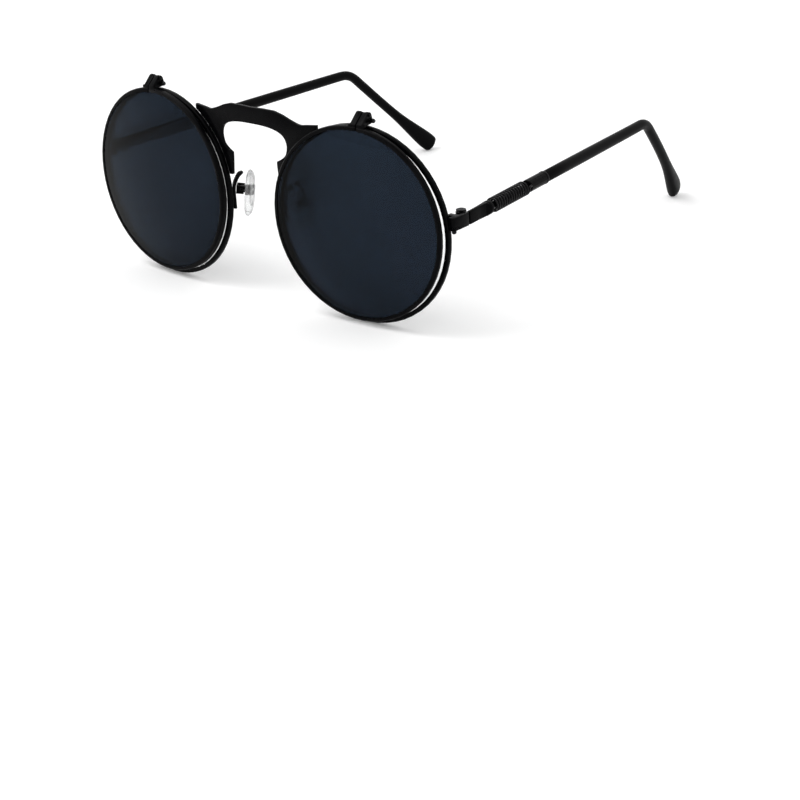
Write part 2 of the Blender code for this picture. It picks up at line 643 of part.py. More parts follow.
def build_pad(side, word, front):
    """A pad that rocks on a screw in the box at the end of its wire arm."""
    face = Vector((-side * math.cos(PAD_TURN), math.sin(PAD_TURN), 0.0))
    across = Vector((side * math.sin(PAD_TURN), math.cos(PAD_TURN), 0.0))
    lean = Matrix.Rotation(-side * PAD_SPLAY, 3, Y)
    face, across, up = lean @ face, lean @ across, lean @ Z
    seat = Vector((side * (RIM_GAP / 2 + PAD_INSET), PAD_BACK, LENS_Z - PAD_DROP + PAD_HANG))
    stem_start = -PAD_THICKNESS / 2 - SEAT_GAP
    stem_end = stem_start - STEM_LENGTH
    pivot = seat + face * (stem_end + STEM_HEIGHT / 2)
    axis = anchor(f"nose_pad_axis_{word}", pivot, 0.0, front)

    def put(a, b, c):
        """Across, up and facing distances from the middle of the stem's seat."""
        return seat - pivot + across * a + up * b + face * c

    # Pad, built up in layers from its back to its crowned face
    layer_shares = ((0.0, 0.78), (0.14, 0.96), (0.36, 1.0), (0.62, 0.95), (0.84, 0.76), (0.96, 0.45))
    rings = []
    for depth, spread in layer_shares:
        ring = []
        for i in range(TUBE_SIDES + 4):
            a, b = pad_outline(2 * math.pi * i / (TUBE_SIDES + 4))
            ring.append(put(b * PAD_WIDTH * spread, -a * PAD_LENGTH * spread - PAD_HANG,
                            (depth - 0.5) * PAD_THICKNESS))
        rings.append(ring)
    add_object(f"nose_pad_{word}", loft(f"nose_pad_{word}", rings), pad_clear(), axis)

    # Metal stem behind the pad, with an eye for the screw
    half_height = STEM_HEIGHT / 2
    stem_outline = hull([(stem_start, -half_height), (stem_start, half_height)]
                        + circle(half_height, BARREL_SIDES, (stem_end + half_height, 0.0)))
    stem = prism(f"pad_stem_{word}", stem_outline, -STEM_WIDTH / 2, STEM_WIDTH / 2,
                 lambda c, b, a: put(a, b, c))
    stem = add_object(f"pad_stem_{word}", stem, screw_black(), axis)

    # Box with two cheeks, open towards the pad
    cheek_in = STEM_WIDTH / 2 + RUN_GAP
    cheek_out = cheek_in + BOX_WALL
    mouth = stem_start - SEAT_GAP
    floor_in = stem_end - RUN_GAP
    floor_out = floor_in - BOX_WALL
    channel = [(-cheek_out, floor_out), (cheek_out, floor_out), (cheek_out, mouth),
               (cheek_in, mouth), (cheek_in, floor_in), (-cheek_in, floor_in),
               (-cheek_in, mouth), (-cheek_out, mouth)]
    box = prism(f"pad_box_{word}", channel, -BOX_HEIGHT / 2, BOX_HEIGHT / 2,
                lambda a, c, b: put(a, b, c))
    box = add_object(f"pad_box_{word}", box, frame_black(), axis)

    # Screw through cheeks and stem
    hole = turned(f"pad_hole_{word}",
                  pin_profile(PAD_SCREW_RADIUS + RUN_GAP, 2 * (cheek_out + CUT_OVERRUN)),
                  SCREW_SIDES, Vector(), across, up)
    hole = helper(f"pad_hole_{word}", hole, axis)
    shape_with(stem, hole, "DIFFERENCE")
    shape_with(box, hole, "DIFFERENCE")
    screw = turned(f"pad_screw_{word}",
                   screw_profile(PAD_SCREW_RADIUS, PAD_SCREW_HEAD_RADIUS,
                                 PAD_SCREW_HEAD_LENGTH, 2 * cheek_out + SEAT_GAP),
                   SCREW_SIDES, across * (cheek_out + SEAT_GAP), -across, up)
    add_object(f"pad_screw_{word}", screw, screw_black(), axis)

    # Arm: a flat foot behind the rim, then round wire that loops back to the box
    foot_out = LENS_X - (RIM_RADIUS - RIM_WALL / 2) * math.cos(WRAP_ANGLE)
    rim_back = -(LENS_X - foot_out) * math.tan(WRAP_ANGLE) + RIM_DEPTH / 2
    foot_y = rim_back + SEAT_GAP + ARM_WIRE / 2
    box_back = seat + face * (floor_out - SEAT_GAP - ARM_WIRE / 2)
    box_top = box_back + up * (BOX_HEIGHT / 2)
    foot_top = Vector((side * foot_out, foot_y, LENS_Z + ARM_FOOT_RISE))
    reach = box_top - foot_top
    loop_rise = ARM_LOOP_RISE - ARM_FOOT_RISE
    foot_shares = (1.0, 0.63, 0.22)
    loop_shares = ((0.0, 0.08, 0.10), (0.0, 0.50, 0.78), (0.08, 1.0, 1.0), (0.62, 1.12, 0.72))
    spine = [foot_top - Z * (ARM_FOOT_DROP + ARM_FOOT_RISE) * share for share in foot_shares]
    spine += [foot_top + Vector((reach.x * a, reach.y * b, loop_rise * c))
              for a, b, c in loop_shares]
    spine += [Vector((box_top.x, box_top.y, (box_top.z + LENS_Z + ARM_FOOT_RISE) / 2)),
              box_back + up * (BOX_HEIGHT / 6), box_back - up * (BOX_HEIGHT / 4)]
    line = smooth_path(spine, 3)
    rings = []
    sides, flat_share = 8, 0.34
    out = X * side
    for i, here in enumerate(line):
        ahead = (line[min(i + 1, len(line) - 1)] - line[max(i - 1, 0)]).normalized()
        out = (out - ahead * out.dot(ahead)).normalized()
        other = ahead.cross(out)
        flat = max(0.0, 1 - i / (len(line) * flat_share))
        wide = ARM_WIRE / 2 * (1 - flat) + ARM_FOOT_WIDTH / 2 * flat
        rings.append([here + out * wide * math.cos(2 * math.pi * (k + 0.5) / sides)
                      + other * ARM_WIRE / 2 * math.sin(2 * math.pi * (k + 0.5) / sides)
                      for k in range(sides)])
    add_object(f"pad_arm_{word}", loft(f"pad_arm_{word}", rings), frame_black(), front)


# End pieces with their half of the temple hinge

def build_end_piece(side, word, front):
    """Block beside the rim, wrapped back to the hinge barrels."""
    rim_back = RIM_EDGE_Y + RIM_DEPTH / 2 + SEAT_GAP
    front_y = RIM_EDGE_Y - END_FORWARD
    joint_y = HINGE_BACK - RUN_GAP
    inner_x = RIM_OUT + SEAT_GAP
    corner_share, web_share = 0.3, 0.7
    wall_in = END_OUT - END_WALL
    block_back = rim_back + BLOCK_DEPTH
    low = HINGE_HEIGHT - END_HEIGHT / 2
    high = HINGE_HEIGHT + END_HEIGHT / 2

    def upright(a, b, height):
        return Vector((side * a, b, height))

    outline = [
        (inner_x, front_y), (END_OUT - END_CORNER, front_y),
        (END_OUT - END_CORNER * corner_share, front_y + END_CORNER * corner_share),
        (END_OUT, front_y + END_CORNER), (END_OUT, joint_y), (wall_in, joint_y),
        (wall_in, block_back + END_CORNER), (wall_in - END_CORNER, block_back),
        (RIM_OUT - BLOCK_INSET, block_back), (RIM_OUT - BLOCK_INSET, rim_back),
        (inner_x, rim_back),
    ]
    piece = prism(f"end_piece_{word}", outline, low, high, upright)
    piece = add_object(f"end_piece_{word}", piece, frame_black(), front)

    # Notch for the lower closing block that the rim screw pulls up
    split = low + CLOSING_BLOCK_HEIGHT
    notch_back = rim_back + SEAT_GAP
    notch_outline = [(inner_x - CUT_OVERRUN, front_y - CUT_OVERRUN),
                     (END_OUT + CUT_OVERRUN, front_y - CUT_OVERRUN),
                     (END_OUT + CUT_OVERRUN, notch_back + SEAT_GAP),
                     (inner_x - CUT_OVERRUN, notch_back + SEAT_GAP)]
    notch = prism(f"notch_{word}", notch_outline, low - CUT_OVERRUN, split + SEAT_GAP, upright)
    shape_with(piece, helper(f"notch_{word}", notch, front), "DIFFERENCE")
    closing = [(inner_x, front_y), (END_OUT - END_CORNER, front_y),
               (END_OUT, front_y + END_CORNER), (END_OUT, notch_back), (inner_x, notch_back)]
    closing = prism(f"closing_block_{word}", closing, low, split, upright)
    closing = add_object(f"closing_block_{word}", closing, frame_black(), front)

    # Barrels above and below the temple's knuckle
    pin_y = HINGE_BACK
    web_x = wall_in + WELD_DEPTH
    half_stack, half_middle = BARREL_STACK / 2, BARREL_MIDDLE / 2 + RUN_GAP
    barrel = hull([(HINGE_X + a, pin_y + b) for a, b in circle(BARREL_RADIUS, BARREL_SIDES)]
                  + [(web_x, pin_y - BARREL_RADIUS * web_share), (web_x, pin_y - BARREL_RADIUS)])
    for word_z, bottom, top in (
            ("low", HINGE_HEIGHT - half_stack, HINGE_HEIGHT - half_middle),
            ("high", HINGE_HEIGHT + half_middle, HINGE_HEIGHT + half_stack)):
        name = f"barrel_{word_z}_{word}"
        shape_with(piece, helper(name, prism(name, barrel, bottom, top, upright), front), "UNION")
    pin = Vector((side * HINGE_X, pin_y, HINGE_HEIGHT))
    bore = turned(f"hinge_bore_{word}",
                  pin_profile(HINGE_SCREW_RADIUS + RUN_GAP, BARREL_STACK + 2 * CUT_OVERRUN),
                  SCREW_SIDES, pin, Z, X)
    shape_with(piece, helper(f"hinge_bore_{word}", bore, front), "DIFFERENCE")

    # Rim screw, up through the closing block
    screw_x = (inner_x + END_OUT) / 2
    screw_y = (front_y + notch_back) / 2
    depth = CLOSING_BLOCK_HEIGHT + SEAT_GAP + END_HEIGHT / 3
    hole = turned(f"rim_screw_hole_{word}",
                  pin_profile(RIM_SCREW_RADIUS + SEAT_GAP, 2 * (depth + SEAT_GAP)),
                  SCREW_SIDES, Vector((side * screw_x, screw_y, low)), Z, X)
    hole = helper(f"rim_screw_hole_{word}", hole, front)
    shape_with(piece, hole, "DIFFERENCE")
    shape_with(closing, hole, "DIFFERENCE")
    screw = turned(f"rim_screw_{word}",
                   screw_profile(RIM_SCREW_RADIUS, RIM_SCREW_HEAD_RADIUS,
                                 RIM_SCREW_HEAD_LENGTH, depth),
                   SCREW_SIDES, Vector((side * screw_x, screw_y, low - SEAT_GAP)), Z, X)
    add_object(f"rim_screw_{word}", screw, screw_black(), front)

    # Hinge screw, down through both barrels and the knuckle
    head_seat = pin + Z * (half_stack + SEAT_GAP)
    screw = turned(f"temple_hinge_screw_{word}",
                   screw_profile(HINGE_SCREW_RADIUS, HINGE_SCREW_HEAD_RADIUS,
                                 HINGE_SCREW_HEAD_LENGTH, BARREL_STACK + SEAT_GAP),
                   SCREW_SIDES + 4, head_seat, -Z, X)
    add_object(f"temple_hinge_screw_{word}", screw, screw_black(), front)


# Temples

def oval(across, tall, squareness, sides=TUBE_SIDES):
    """Section through a temple: sideways and upright distances from its middle."""
    ring = []
    for i in range(sides):
        turn = 2 * math.pi * (i + 0.5) / sides
        a, b = math.cos(turn), math.sin(turn)
        power = 2 / squareness
        ring.append((math.copysign(abs(a) ** power, a) * across / 2,
                     math.copysign(abs(b) ** power, b) * tall / 2))
    return ring


def temple_plate_mesh(side, name):
    """Flat plate from the hinge, round collar, and the rod inside spring and sleeve."""
    round_plate, square_plate = 2.0, 12.0
    wall, tall = END_WALL, END_HEIGHT
    collar, rod = COLLAR_RADIUS * 2, ROD_RADIUS * 2
    end_wall, end_tall = PLATE_END_WALL, PLATE_END_HEIGHT
    middle_share, flare_share, neck_share, edge_share, break_share = 0.5, 0.9, 0.96, 0.15, 0.95
    edge = COLLAR_LENGTH * edge_share
    stations = [
        (RUN_GAP, wall, tall, square_plate),
        (PLATE_LENGTH * middle_share, wall, (tall + end_tall) / 2, square_plate),
        (PLATE_LENGTH * flare_share, end_wall, end_tall, square_plate),
        (PLATE_LENGTH * neck_share, (end_wall + collar) / 2, end_tall, square_plate / 3),
        (COLLAR_START, collar * break_share, collar * break_share, round_plate),
        (COLLAR_START + edge, collar, collar, round_plate),
        (SPRING_START - edge, collar, collar, round_plate),
        (SPRING_START, collar * break_share, collar * break_share, round_plate),
        (SPRING_START, rod, rod, round_plate),
        (ROD_END - ROD_RADIUS / 2, rod, rod, round_plate),
        (ROD_END, rod / 2, rod / 2, round_plate),
    ]
    rings = []
    for along, across, upright, squareness in stations:
        rings.append([Vector((side * (PLATE_SIDEWAYS + a), along, b))
                      for a, b in oval(across, upright, squareness)])
    return loft(name, rings)


def tip_line(bend):
    """Middle line of the sleeve in (along, height), and where on it the bend ends."""
    reach = TEMPLE_BEND_RADIUS * math.tan(bend / 2)
    start = TEMPLE_BEND_AT - reach
    straight_shares = (0.0, 0.4, 0.8, 0.94)
    tip_shares = (0.26, 0.5, 0.62, 0.74, 0.86, 0.95, 0.985, 1.0)
    line = [(SLEEVE_START + (start - SLEEVE_START) * s, 0.0, 0.0) for s in straight_shares]
    for i in range(BEND_STEPS + 1):
        turn = bend * i / BEND_STEPS
        line.append((start + TEMPLE_BEND_RADIUS * math.sin(turn),
                     -TEMPLE_BEND_RADIUS * (1 - math.cos(turn)), turn))
    corner = len(line) - 1
    along, height, _ = line[corner]
    rest = TIP_LENGTH - reach
    for share in tip_shares:
        line.append((along + rest * share * math.cos(bend),
                     height - rest * share * math.sin(bend), bend))
    return line, corner


def tip_rings(side, bend):
    """Rings of the sleeve: a bore for the rod, then the outside down to the tip."""
    bore = ROD_RADIUS + SEAT_GAP
    line, corner = tip_line(bend)
    rings = [
        [(a, b, ROD_END + SEAT_GAP) for a, b in oval(bore, bore, 2.0)],
        [(a, b, ROD_END + SEAT_GAP) for a, b in oval(2 * bore, 2 * bore, 2.0)],
        [(a, b, SLEEVE_START) for a, b in oval(2 * bore, 2 * bore, 2.0)],
    ]
    rings = [[Vector((side * (PLATE_SIDEWAYS + a), s, b)) for a, b, s in ring] for ring in rings]
    last = len(line) - 1
    shrink_shares = {0: 0.95, last - 1: 0.9, last: 0.6}
    flare_from_share = 0.5
    full = math.dist(line[corner][:2], line[last][:2])
    for i, (along, height, turn) in enumerate(line):
        grow = 0.0
        if i > corner:
            down = math.dist(line[corner][:2], (along, height)) / full
            late = max(0.0, (down - flare_from_share) / (1 - flare_from_share))
            grow = late * late * (3 - 2 * late)
        thin = min(1.0, (along - SLEEVE_START) / (line[corner][0] - SLEEVE_START))
        stem = 2 * (SLEEVE_RADIUS * (1 - thin) + NECK_RADIUS * thin)
        wide = stem * (1 - grow) + TIP_THICKNESS * grow
        tall = stem * (1 - grow) + TIP_HEIGHT * grow
        shrink = shrink_shares.get(i, 1.0)
        past = max(0.0, along - (TEMPLE_BEND_AT - TEMPLE_BEND_RADIUS))
        inward = TIP_INWARD * (past / tip_end_reach(bend)) ** 2
        ring = []
        for a, b in oval(wide * shrink, tall * shrink, 2.0 + 0.3 * grow):
            ring.append(Vector((side * (PLATE_SIDEWAYS - inward + a),
                                along + b * math.sin(turn), height + b * math.cos(turn))))
        rings.append(ring)
    return rings


def tip_end_reach(bend):
    """Distance along the temple from before the bend to the tip's end."""
    return TEMPLE_BEND_RADIUS + TIP_LENGTH * math.cos(bend)


def floor_bend():
    """Bend angle that brings the lowest point of the tip down to the floor."""
    low, high = 0.0, math.pi / 2
    for _ in range(60):
        bend = (low + high) / 2
        lowest = min(p.z * math.cos(TEMPLE_PITCH) + p.y * math.sin(TEMPLE_PITCH)
                     for ring in tip_rings(LEFT, bend) for p in ring)
        if lowest > -HINGE_HEIGHT:
            low = bend
        else:
            high = bend
    return (low + high) / 2


def spring_points(side):
    """Middle line of the coil: straight end, quarter bend, turns, and back again."""
    radius = SPRING_RADIUS - SPRING_WIRE / 2
    bend = SPRING_WIRE
    quarter = 3
    first = SPRING_START + SEAT_GAP
    helix_start = first + 2 * bend
    helix_end = helix_start + SPRING_TURNS * SPRING_PITCH
    swing = bend / radius
    points = [(first, -swing), (first + bend, -swing)]
    for i in range(1, quarter):
        t = math.pi / 2 * i / quarter
        points.append((first + bend + bend * math.sin(t), -swing * math.cos(t)))
    count = SPRING_TURNS * COIL_POINTS
    for i in range(count + 1):
        share = i / count
        points.append((helix_start + (helix_end - helix_start) * share,
                       2 * math.pi * SPRING_TURNS * share))
    total = 2 * math.pi * SPRING_TURNS
    for i in range(1, quarter):
        t = math.pi / 2 * i / quarter
        points.append((helix_end + bend - bend * math.cos(t), total + swing * math.sin(t)))
    points += [(helix_end + bend, total + swing), (helix_end + 2 * bend, total + swing)]
    return [Vector((side * (PLATE_SIDEWAYS + radius * math.cos(turn)), along,
                    radius * math.sin(turn))) for along, turn in points]


def spring_gap(points):
    """Least gap of the coil to itself, between stretches over half a turn apart."""
    apart = COIL_POINTS // 2 + 1
    least = min((a - b).length for i, a in enumerate(points) for b in points[i + apart:])
    return least - SPRING_WIRE


def spring_object(name, points, parent):
    """One unbroken wire along the points, with filled ends."""
    curve = bpy.data.curves.new(name, "CURVE")
    curve.dimensions = "3D"
    curve.bevel_depth = SPRING_WIRE / 2
    curve.bevel_resolution = 1
    curve.use_fill_caps = True
    line = curve.splines.new("POLY")
    line.points.add(len(points) - 1)
    for spot, point in zip(line.points, points):
        spot.co = (*point, 1.0)
    made = bpy.data.objects.new(name, curve)
    bpy.context.collection.objects.link(made)
    made.parent = parent
    made.data.materials.append(spring_black())
    return made


def ring_section(outer, bore, start, length, edge_share):
    """Closed section of a round sleeve with broken outer edges."""
    edge = (outer - bore) * edge_share
    return [(bore, start), (outer - edge, start), (outer, start + edge),
            (outer, start + length - edge), (outer - edge, start + length), (bore, start + length)]


def build_temple(side, word, bend, glasses):
    """Everything that folds on one hinge, placed from the hinge's axis."""
    axis = anchor(f"temple_axis_{word}", (side * HINGE_X, HINGE_BACK, HINGE_HEIGHT),
                  side * TEMPLE_SPLAY, glasses, TEMPLE_PITCH)
    plate = temple_plate_mesh(side, f"temple_{word}")
    plate = add_object(f"temple_{word}", plate, frame_black(), axis)

    # Knuckle between the end piece's barrels
    web_x, web_share = PIN_INSET - END_WALL + WELD_DEPTH, 0.7
    knuckle = hull(circle(BARREL_RADIUS, BARREL_SIDES)
                   + [(web_x, BARREL_RADIUS * web_share), (web_x, BARREL_RADIUS)])
    name = f"knuckle_{word}"
    knuckle = prism(name, knuckle, -BARREL_MIDDLE / 2, BARREL_MIDDLE / 2,
                    lambda a, b, height: Vector((side * a, b, height)))
    shape_with(plate, helper(name, knuckle, axis), "UNION")
    bore = turned(f"knuckle_bore_{word}",
                  pin_profile(HINGE_SCREW_RADIUS + RUN_GAP, BARREL_MIDDLE + 2 * CUT_OVERRUN),
                  SCREW_SIDES, Vector(), Z, X)
    shape_with(plate, helper(f"knuckle_bore_{word}", bore, axis), "DIFFERENCE")

    points = spring_points(side)
    spring_object(f"coil_spring_{word}", points, axis)
    print(f"coil_spring_{word}: least gap to itself {spring_gap(points) * 1000:.3f} mm")

    # Ferrule behind the spring and the ring at the sleeve's mouth
    centre = Vector((side * PLATE_SIDEWAYS, 0.0, 0.0))
    bore_radius = ROD_RADIUS + SEAT_GAP
    ferrule = tube(f"temple_ferrule_{word}",
                   ring_section(FERRULE_RADIUS, bore_radius, FERRULE_START, FERRULE_LENGTH, 0.3),
                   TUBE_SIDES + 2, centre, Y, Z)
    add_object(f"temple_ferrule_{word}", ferrule, frame_black(), axis)
    joint = tube(f"temple_joint_ring_{word}",
                 ring_section(JOINT_RING_RADIUS, bore_radius, JOINT_RING_START,
                              JOINT_RING_LENGTH, 0.2),
                 TUBE_SIDES + 2, centre, Y, Z)
    add_object(f"temple_joint_ring_{word}", joint, screw_black(), axis)

    sleeve = loft(f"temple_tip_{word}", tip_rings(side, bend))
    add_object(f"temple_tip_{word}", sleeve, sleeve_black(), axis)


def centre_over_origin(glasses):
    """Shift the glasses along Y until the origin is below the middle of their depth."""
    bpy.context.view_layer.update()
    graph = bpy.context.evaluated_depsgraph_get()
    reach = []
    for piece in bpy.data.objects:
        if piece.type == "EMPTY" or piece.hide_render:
            continue
        shaped = piece.evaluated_get(graph)
        reach += [(piece.matrix_world @ v.co).y for v in shaped.to_mesh().vertices]
        shaped.to_mesh_clear()
    glasses.location.y = -(min(reach) + max(reach)) / 2


glasses = anchor("glasses", (0.0, 0.0, 0.0))
front_frame = anchor("front_frame", (0.0, 0.0, 0.0), 0.0, glasses)
build_bridge(front_frame)
bend_angle = floor_bend()
print(f"temple bend {math.degrees(bend_angle):.2f} degrees")
for hand, hand_word in SIDES:
    lens_seat = build_fixed_lens(hand, hand_word, front_frame)
    build_flip(hand, hand_word, lens_seat)
    build_pad(hand, hand_word, front_frame)
    build_end_piece(hand, hand_word, front_frame)
    build_temple(hand, hand_word, bend_angle, glasses)
centre_over_origin(glasses)
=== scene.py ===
"""Looks of the round flip-up sunglasses: materials, finer pieces, floor, light and camera."""
import json
import math

import bmesh
import bpy
from mathutils import Matrix, Vector


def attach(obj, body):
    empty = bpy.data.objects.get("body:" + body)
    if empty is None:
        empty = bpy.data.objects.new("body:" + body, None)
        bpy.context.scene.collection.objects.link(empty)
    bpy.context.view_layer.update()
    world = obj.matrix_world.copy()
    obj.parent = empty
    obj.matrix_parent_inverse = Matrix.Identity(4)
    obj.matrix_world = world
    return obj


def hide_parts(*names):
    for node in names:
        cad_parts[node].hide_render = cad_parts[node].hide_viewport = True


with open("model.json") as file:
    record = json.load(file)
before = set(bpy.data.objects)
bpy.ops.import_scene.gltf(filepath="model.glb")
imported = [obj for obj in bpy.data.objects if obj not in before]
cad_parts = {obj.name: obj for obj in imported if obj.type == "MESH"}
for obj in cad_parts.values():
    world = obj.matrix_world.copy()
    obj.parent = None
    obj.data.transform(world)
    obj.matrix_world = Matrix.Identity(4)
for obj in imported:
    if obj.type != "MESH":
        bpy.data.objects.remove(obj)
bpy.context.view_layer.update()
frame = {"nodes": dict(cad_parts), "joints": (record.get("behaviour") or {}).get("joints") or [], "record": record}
nodes = frame["nodes"]
bodies = {node: body for body, members in frame["record"]["behaviour"]["bodies"].items()
          for node in members}

# Where the solids are, in metres. +X is the wearer's left and -Y is ahead.
SIDES = ((1, "left"), (-1, "right"))
UP = Vector((0.0, 0.0, 1.0))
LENS_PLANE_Y = -0.061772
LENS_X, LENS_Z = 0.035008, 0.0262
WRAP = math.radians(4.8)
SPLAY, PITCH = math.radians(4.4), math.radians(0.4)
SEAT_GAP = 0.0002

# Lenses: inner radius of each rim, place of the dark lens from the clear one, and section
CLEAR_INNER, FLIP_INNER = 0.0250, 0.0246
FLIP_AHEAD, FLIP_RAISE = 0.0024, 0.0009
LEFT_FLIP_PLAY = 0.0007
LENS_CURVE, LENS_THICK, LENS_LIP, LENS_GROOVE = 0.130, 0.0012, 0.0005, 0.00045
LENS_RINGS, LENS_SIDES = 18, 128

# Right flip rim: how far its back is moved, from where, and the height that stays as it is
RIM_DEEPER, FLIP_MIDDLE_BACK, RIM_TOP_KEPT = 0.0006, 0.0003, 0.0235

# Springs, on a rod that stands beside the temple's hinge axis
ROD_OUT = 0.00207
COIL_START, COIL_PITCH, COIL_WIRE, COIL_OUTER = 0.0094, 0.0011, 0.00056, 0.0020
COIL_TURNS, COIL_STEPS, BEND_STEPS, WIRE_ROUNDING = 14, 28, 6, 3

# Metal plates in the nose pads: half sizes across, up and through, and the hole's share
PAD_TURN, PAD_SPLAY = math.radians(37.0), math.radians(9.0)
PAD_SEAT = (0.0095, 0.0055, 0.0264)
INSERT_HALF, INSERT_BACK = (0.0012, 0.00125, 0.00022), -0.0004
INSERT_SIDES, INSERT_SQUARENESS, INSERT_HOLE = 28, 0.6, 0.42

# Slots of the screws: half sizes as shares of the head's radius, and leans out of the upright
SLOT_LENGTH, SLOT_WIDTH, SLOT_DEPTH = 1.3, 0.15, 0.30
HINGE_PIN_LEAN, FLIP_SCREW_LEAN = 0.4, 0.5

# Finer copies of the solids
SAME_POINT = 0.000001
FLAT_WITHIN = math.radians(0.6)
JOINED_FACES, JOINED_SHAPES = math.radians(20.0), math.radians(40.0)
BEVEL_STEPS, BEVEL_FROM = 2, math.radians(38.0)
BRIDGE_BEVEL = 0.00014
BEVELS = (("end_piece", 0.00012), ("closing_block", 0.00008), ("temple", 0.00008),
          ("flip_hinge_base", 0.00010), ("flip_rim", 0.00006), ("rear_rim", 0.00006),
          ("pad_box", 0.00006))
CREASE = 0.85
PAD_LEVELS, PAD_CREASE_FROM = 2, math.radians(70.0)
TIP_LEVELS, TIP_CREASE_FROM = 1, math.radians(24.0)

# Angle between faces from which an edge is drawn sharp
LENS_SHARP, CUT_SHARP = math.radians(30.0), math.radians(40.0)
BEVEL_SHARP, ROUND_SHARP = math.radians(50.0), math.radians(60.0)

# Darkest and lightest colour of each material
LACQUER = ((0.0005, 0.0005, 0.0008), (0.0016, 0.0016, 0.0020))
STEEL = ((0.003, 0.003, 0.004), (0.009, 0.009, 0.010))
SLEEVE = ((0.0007, 0.0007, 0.0009), (0.0018, 0.0018, 0.0021))
TINT = ((0.0108, 0.0170, 0.0275), (0.0135, 0.0208, 0.0330))
CLEAR = ((0.90, 0.93, 0.93), (0.94, 0.96, 0.96))
# Pad colour in the middle, and painted shade at its outline that stands in for the dark seen through the
# silicone's thick edge
PAD_MIDDLE, PAD_PAINTED_EDGE_SHADE = (0.92, 0.93, 0.93), (0.05, 0.055, 0.06)
FLOOR = ((0.93, 0.93, 0.93), (0.95, 0.95, 0.95))
WHITE = (1.0, 1.0, 1.0, 1.0)

# Low enough that the white surroundings leave the black surfaces black
BLACK_SPECULAR = 0.04

# Floor, world and lamp
FLOOR_HALF, FLOOR_LIFT, WORLD_LIGHT = 4, 0.12, 0.9
KEY_PLACE, KEY_AIM = Vector((-0.35, -0.35, 0.75)), Vector((0, 0, 0.02))
KEY_SIZE, KEY_POWER = 0.5, 3.0

# Camera, as fitted to the photograph
CAMERA_TURN, CAMERA_RISE = math.radians(39.934), math.radians(17.082)
CAMERA_ROLL, CAMERA_AWAY = math.radians(-2.693), 0.5573
CAMERA_AIM = Vector((0.0, 0.060 + LENS_PLANE_Y, 0.020))
FOCAL_PX, CENTRE_PX, IMAGE_PX, SENSOR_MM = 1947.1, (407.49, 165.42), 800, 36.0
NEAREST_SEEN = 0.01


# Materials

class Nodes:
    """A Principled material with helpers that add its procedural nodes."""

    def __init__(self, name):
        self.material = bpy.data.materials.new(name)
        self.material.use_nodes = True
        self.tree = self.material.node_tree
        self.shader = self.tree.nodes["Principled BSDF"]
        self.place = self.tree.nodes.new("ShaderNodeTexCoord").outputs["Object"]

    def add(self, kind, **inputs):
        made = self.tree.nodes.new(kind)
        for key, value in inputs.items():
            self.link(value, made.inputs[key.replace("_", " ")])
        return made

    def link(self, value, socket):
        if isinstance(value, bpy.types.NodeSocket):
            self.tree.links.new(value, socket)
        else:
            socket.default_value = value

    def noise(self, scale, detail=3.0, stretch=(1, 1, 1)):
        """Noise with this many features to a metre."""
        mapping = self.add("ShaderNodeMapping", Vector=self.place)
        mapping.inputs["Scale"].default_value = stretch
        made = self.add("ShaderNodeTexNoise", Vector=mapping.outputs["Vector"], Scale=scale,
                        Detail=detail, Roughness=0.55)
        return made.outputs["Fac"]

    def ramp(self, fac, colours, start=0.3, end=0.7):
        """A colour that goes from the first to the second as fac goes from start to end."""
        made = self.add("ShaderNodeValToRGB", Fac=fac)
        for element, at, colour in zip(made.color_ramp.elements, (start, end), colours):
            element.position, element.color = at, (*colour, 1.0)
        return made.outputs["Color"]

    def span(self, fac, low, high, start=0.3, end=0.7):
        """A number that goes from low to high as fac goes from start to end."""
        made = self.add("ShaderNodeMapRange", Value=fac, From_Min=start, From_Max=end,
                        To_Min=low, To_Max=high)
        return made.outputs["Result"]

    def bump(self, height, strength, distance):
        made = self.add("ShaderNodeBump", Height=height, Strength=strength, Distance=distance)
        return made.outputs["Normal"]

    def set(self, **inputs):
        for key, value in inputs.items():
            self.link(value, self.shader.inputs[key.replace("_", " ")])


def lacquer():
    """Black lacquer on metal: faint mottling and soft orange peel."""
    m = Nodes("black_lacquer")
    mottle = m.noise(260.0, detail=4.0)
    peel = m.noise(2600.0, detail=2.0)
    m.set(Base_Color=m.ramp(mottle, LACQUER, start=0.35, end=0.68),
          Roughness=m.span(m.noise(900.0), low=0.24, high=0.36),
          Normal=m.bump(peel, strength=0.10, distance=0.00002),
          Specular_IOR_Level=BLACK_SPECULAR)
    return m.material


def steel(name, dullest):
    """Blackened steel with fine drawn streaks."""
    m = Nodes(name)
    grain = m.noise(1500.0, detail=4.0, stretch=(1, 0.2, 1))
    m.set(Base_Color=m.ramp(grain, STEEL),
          Roughness=m.span(m.noise(3000.0), low=0.24, high=dullest),
          Normal=m.bump(grain, strength=0.12, distance=0.00002),
          Metallic=0.8)
    return m.material


def sleeve_plastic():
    """Satin black plastic with a fine moulded skin."""
    m = Nodes("satin_sleeve")
    skin = m.noise(3800.0, detail=2.0)
    m.set(Base_Color=m.ramp(m.noise(120.0), SLEEVE),
          Roughness=m.span(m.noise(420.0), low=0.30, high=0.42),
          Normal=m.bump(skin, strength=0.10, distance=0.00003),
          Specular_IOR_Level=BLACK_SPECULAR)
    return m.material


def tinted_lens():
    """Dark navy lens that lets a little light through, with faint handling marks."""
    m = Nodes("tinted_lens")
    m.set(Base_Color=m.ramp(m.noise(55.0), TINT),
          Roughness=m.span(m.noise(180.0), low=0.0, high=0.015),
          Transmission_Weight=1.0, IOR=1.12)
    return m.material


def clear_glass():
    """Clear lens with a faint smear in its gloss."""
    m = Nodes("clear_glass")
    m.set(Base_Color=m.ramp(m.noise(60.0), CLEAR),
          Roughness=m.span(m.noise(200.0), low=0.0, high=0.015),
          Alpha=0.35, Transmission_Weight=1.0, IOR=1.45)
    return m.material


